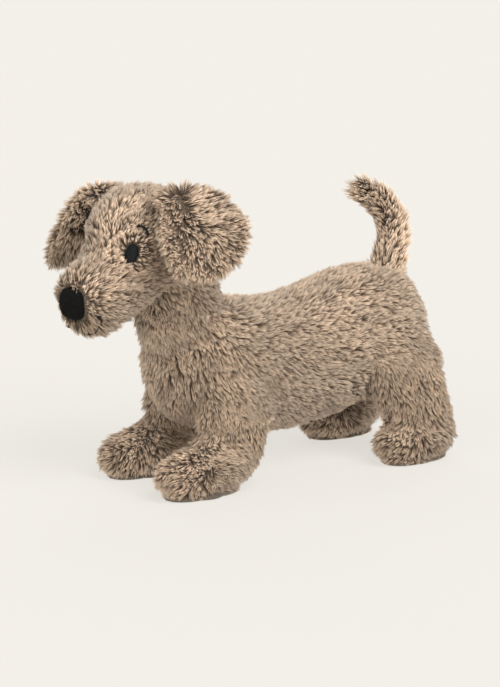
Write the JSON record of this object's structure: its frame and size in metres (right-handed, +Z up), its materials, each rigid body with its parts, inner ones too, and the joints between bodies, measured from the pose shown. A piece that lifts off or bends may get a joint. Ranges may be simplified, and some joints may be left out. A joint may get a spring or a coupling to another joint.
{
  "type": "plush dog",
  "caption": "Standing soft toy dog with a long body, hanging ears, a raised curved tail and a padded black nose, sewn from long-pile plush over fibre filling.",
  "frame": {"origin": "on the floor under the middle of the dog's box, between its paws", "axes": "-Y is the way the dog looks, +X is its left side, +Z is up"},
  "size_m": [0.2128, 0.4192, 0.2986],
  "materials": {
    "plush_fur": "long-pile tan plush",
    "nose_velour": "short-pile black velour",
    "embroidery_thread": "satin-stitched thread",
    "sole_fabric": "short-nap brown suede cloth",
    "fibre_filling": "loose polyester fibre"
  },
  "bodies": {
    "torso": {"torso_cover_left": "plush_fur", "torso_cover_right": "plush_fur", "belly_panel": "plush_fur", "torso_stuffing": "fibre_filling"},
    "neck": {"neck_cover_left": "plush_fur", "neck_cover_right": "plush_fur", "neck_stuffing": "fibre_filling"},
    "head": {"head_cover_left": "plush_fur", "head_cover_right": "plush_fur", "forehead_panel": "plush_fur", "head_stuffing": "fibre_filling", "nose_cover": "nose_velour", "nose_stuffing": "fibre_filling", "eye_left": "embroidery_thread", "eye_right": "embroidery_thread", "eyebrow_left": "embroidery_thread", "eyebrow_right": "embroidery_thread", "mouth_stitch": "embroidery_thread"},
    "ear_left": {"ear_left_outside": "plush_fur", "ear_left_lining": "plush_fur"},
    "ear_right": {"ear_right_outside": "plush_fur", "ear_right_lining": "plush_fur"},
    "tail": {"tail_cover_left": "plush_fur", "tail_cover_right": "plush_fur", "tail_stuffing": "fibre_filling"},
    "front_left_leg": {"front_left_leg_outside": "plush_fur", "front_left_leg_inside": "plush_fur", "front_left_sole": "sole_fabric", "front_left_stuffing": "fibre_filling"},
    "front_right_leg": {"front_right_leg_outside": "plush_fur", "front_right_leg_inside": "plush_fur", "front_right_sole": "sole_fabric", "front_right_stuffing": "fibre_filling"},
    "hind_left_leg": {"hind_left_leg_outside": "plush_fur", "hind_left_leg_inside": "plush_fur", "hind_left_sole": "sole_fabric", "hind_left_stuffing": "fibre_filling"},
    "hind_right_leg": {"hind_right_leg_outside": "plush_fur", "hind_right_leg_inside": "plush_fur", "hind_right_sole": "sole_fabric", "hind_right_stuffing": "fibre_filling"}
  },
  "joints": [
    {"name": "neck_nod", "type": "hinge", "parent": "torso", "child": "neck", "pos_m": [0, -0.07, 0.158], "axis": [1, 0, 0], "range_deg": [-12, 12], "stiffness_Nm_per_rad": 2.5},
    {"name": "head_turn", "type": "hinge", "parent": "neck", "child": "head", "pos_m": [0, -0.082, 0.215], "axis": [0, 0, 1], "range_deg": [-25, 25], "stiffness_Nm_per_rad": 1},
    {"name": "ear_left_lift", "type": "hinge", "parent": "head", "child": "ear_left", "pos_m": [0.05223, -0.10064, 0.292], "axis": [-0.1392, -0.9903, 0], "range_deg": [-5, 60], "stiffness_Nm_per_rad": 0.15},
    {"name": "ear_right_lift", "type": "hinge", "parent": "head", "child": "ear_right", "pos_m": [-0.05612, -0.12209, 0.281], "axis": [-0.1736, 0.9848, 0], "range_deg": [-5, 60], "stiffness_Nm_per_rad": 0.15},
    {"name": "tail_wag", "type": "hinge", "parent": "torso", "child": "tail", "pos_m": [0, 0.172, 0.174], "axis": [0, 0, 1], "range_deg": [-35, 35], "stiffness_Nm_per_rad": 0.2},
    {"name": "front_left_leg_swing", "type": "hinge", "parent": "torso", "child": "front_left_leg", "pos_m": [0.041, -0.044, 0.1], "axis": [1, 0, 0], "range_deg": [-15, 15], "stiffness_Nm_per_rad": 0.8},
    {"name": "front_right_leg_swing", "type": "hinge", "parent": "torso", "child": "front_right_leg", "pos_m": [-0.041, -0.044, 0.1], "axis": [1, 0, 0], "range_deg": [-15, 15], "stiffness_Nm_per_rad": 0.8},
    {"name": "hind_left_leg_swing", "type": "hinge", "parent": "torso", "child": "hind_left_leg", "pos_m": [0.046, 0.15, 0.112], "axis": [1, 0, 0], "range_deg": [-15, 15], "stiffness_Nm_per_rad": 0.8},
    {"name": "hind_right_leg_swing", "type": "hinge", "parent": "torso", "child": "hind_right_leg", "pos_m": [-0.046, 0.15, 0.112], "axis": [1, 0, 0], "range_deg": [-15, 15], "stiffness_Nm_per_rad": 0.8}
  ]
}
